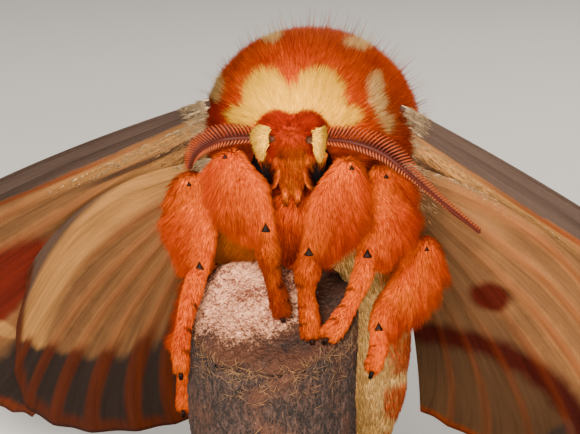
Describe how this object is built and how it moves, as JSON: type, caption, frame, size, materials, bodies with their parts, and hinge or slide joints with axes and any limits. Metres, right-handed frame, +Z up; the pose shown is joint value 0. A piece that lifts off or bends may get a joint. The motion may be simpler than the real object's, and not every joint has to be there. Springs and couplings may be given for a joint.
{
  "type": "regal moth",
  "caption": "Life-size still model of a large furry moth gripping the end of a cut branch, wings hanging at its sides, on a small display stand.",
  "frame": {"origin": "middle of the underside of the stand's round base", "axes": "+Z up, the moth's head faces -Y, +X to the viewer's right when facing the head"},
  "size_m": [0.0949, 0.064, 0.0549],
  "materials": {
    "thorax_fur": "orange-red plush with a cream collar patch",
    "head_fur": "short coarse orange-red fur",
    "leg_fur": "dense orange fur with dark joints and claws",
    "eye": "glossy black",
    "antenna": "red-brown comb",
    "forewing": "fine scales, tan below and slate above, orange veins",
    "hindwing": "fine scales, cream-tan and orange-red",
    "abdomen_fur": "short fur, cream-yellow and orange-red",
    "perch_bark": "rough dark bark, pale broken end",
    "stand_rod": "satin",
    "stand_base": "satin dark wood"
  },
  "bodies": {
    "root": {"head": "head_fur", "eye_left": "eye", "eye_right": "eye", "palp_left": "head_fur", "palp_right": "head_fur", "antenna_left": "antenna", "antenna_right": "antenna", "thorax": "thorax_fur", "abdomen_front": "abdomen_fur", "abdomen_rear": "abdomen_fur", "forewing_left": "forewing", "forewing_right": "forewing", "hindwing_left": "hindwing", "hindwing_right": "hindwing", "fore_left_femur": "leg_fur", "fore_left_tibia": "leg_fur", "fore_left_tarsus": "leg_fur", "fore_right_femur": "leg_fur", "fore_right_tibia": "leg_fur", "fore_right_tarsus": "leg_fur", "mid_left_femur": "leg_fur", "mid_left_tibia": "leg_fur", "mid_left_tarsus": "leg_fur", "mid_right_femur": "leg_fur", "mid_right_tibia": "leg_fur", "mid_right_tarsus": "leg_fur", "hind_left_femur": "leg_fur", "hind_left_tibia": "leg_fur", "hind_left_tarsus": "leg_fur", "hind_right_femur": "leg_fur", "hind_right_tibia": "leg_fur", "hind_right_tarsus": "leg_fur", "perch_branch": "perch_bark", "stand_rod": "stand_rod", "stand_base": "stand_base"}
  },
  "joints": []
}
